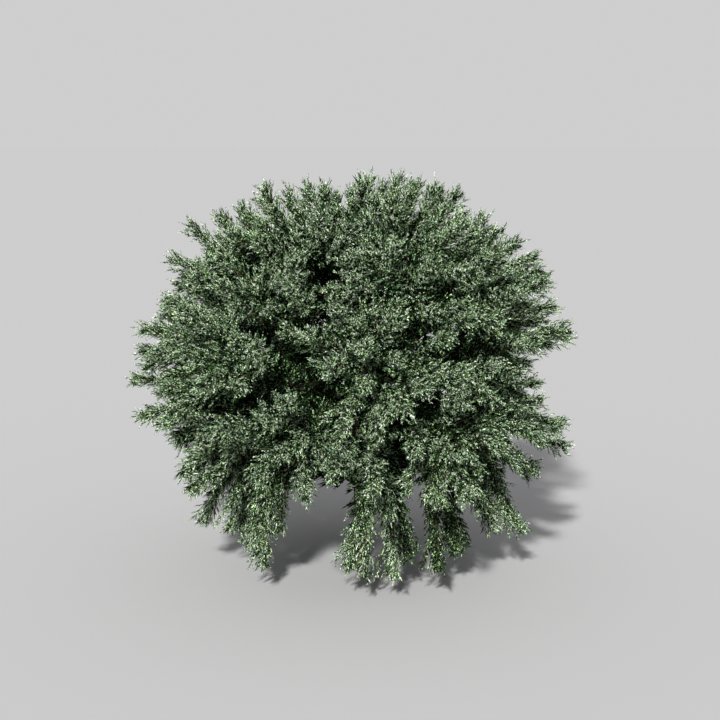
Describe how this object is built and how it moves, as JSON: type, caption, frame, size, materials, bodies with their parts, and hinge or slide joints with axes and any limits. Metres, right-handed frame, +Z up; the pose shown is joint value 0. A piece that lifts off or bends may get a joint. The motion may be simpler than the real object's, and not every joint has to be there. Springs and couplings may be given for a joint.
{
  "type": "cedar tree",
  "caption": "Round-headed evergreen cedar: a short tapering trunk with a flared foot carries arching boughs whose feathery plumes fill a globe-shaped crown, the lowest hanging near the ground.",
  "frame": {"origin": "centre of the flat cut under the trunk, at ground level", "axes": "+Z up the trunk; -Y towards the front, where two pairs of hanging plumes part to show a gap under the crown; +X to the right of it"},
  "size_m": [3.5331, 3.4478, 3.1922],
  "materials": {
    "bark": "rough grey-brown bark",
    "foliage": "matt blue-green and sage-green sprays"
  },
  "bodies": {
    "root": {"bough_hip_1": "bark", "bough_hip_2": "bark", "bough_hip_3": "bark", "bough_hip_4": "bark", "bough_hip_5": "bark", "bough_hip_6": "bark", "bough_shoulder_1": "bark", "bough_shoulder_2": "bark", "bough_shoulder_3": "bark", "bough_shoulder_4": "bark", "bough_shoulder_5": "bark", "bough_shoulder_6": "bark", "bough_skirt_1": "bark", "bough_skirt_2": "bark", "bough_skirt_3": "bark", "bough_skirt_4": "bark", "bough_skirt_5": "bark", "bough_skirt_6": "bark", "bough_skirt_7": "bark", "bough_skirt_8": "bark", "bough_waist_1": "bark", "bough_waist_2": "bark", "bough_waist_3": "bark", "bough_waist_4": "bark", "bough_waist_5": "bark", "bough_waist_6": "bark", "bough_waist_7": "bark", "foliage_crown_1": "foliage", "foliage_crown_2": "foliage", "foliage_crown_3": "foliage", "foliage_crown_4": "foliage", "foliage_hip_1": "foliage", "foliage_hip_2": "foliage", "foliage_hip_3": "foliage", "foliage_hip_4": "foliage", "foliage_hip_5": "foliage", "foliage_hip_6": "foliage", "foliage_leader": "foliage", "foliage_shoulder_1": "foliage", "foliage_shoulder_2": "foliage", "foliage_shoulder_3": "foliage", "foliage_shoulder_4": "foliage", "foliage_shoulder_5": "foliage", "foliage_shoulder_6": "foliage", "foliage_skirt_1": "foliage", "foliage_skirt_2": "foliage", "foliage_skirt_3": "foliage", "foliage_skirt_4": "foliage", "foliage_skirt_5": "foliage", "foliage_skirt_6": "foliage", "foliage_skirt_7": "foliage", "foliage_skirt_8": "foliage", "foliage_waist_1": "foliage", "foliage_waist_2": "foliage", "foliage_waist_3": "foliage", "foliage_waist_4": "foliage", "foliage_waist_5": "foliage", "foliage_waist_6": "foliage", "foliage_waist_7": "foliage", "trunk": "bark"}
  },
  "joints": []
}
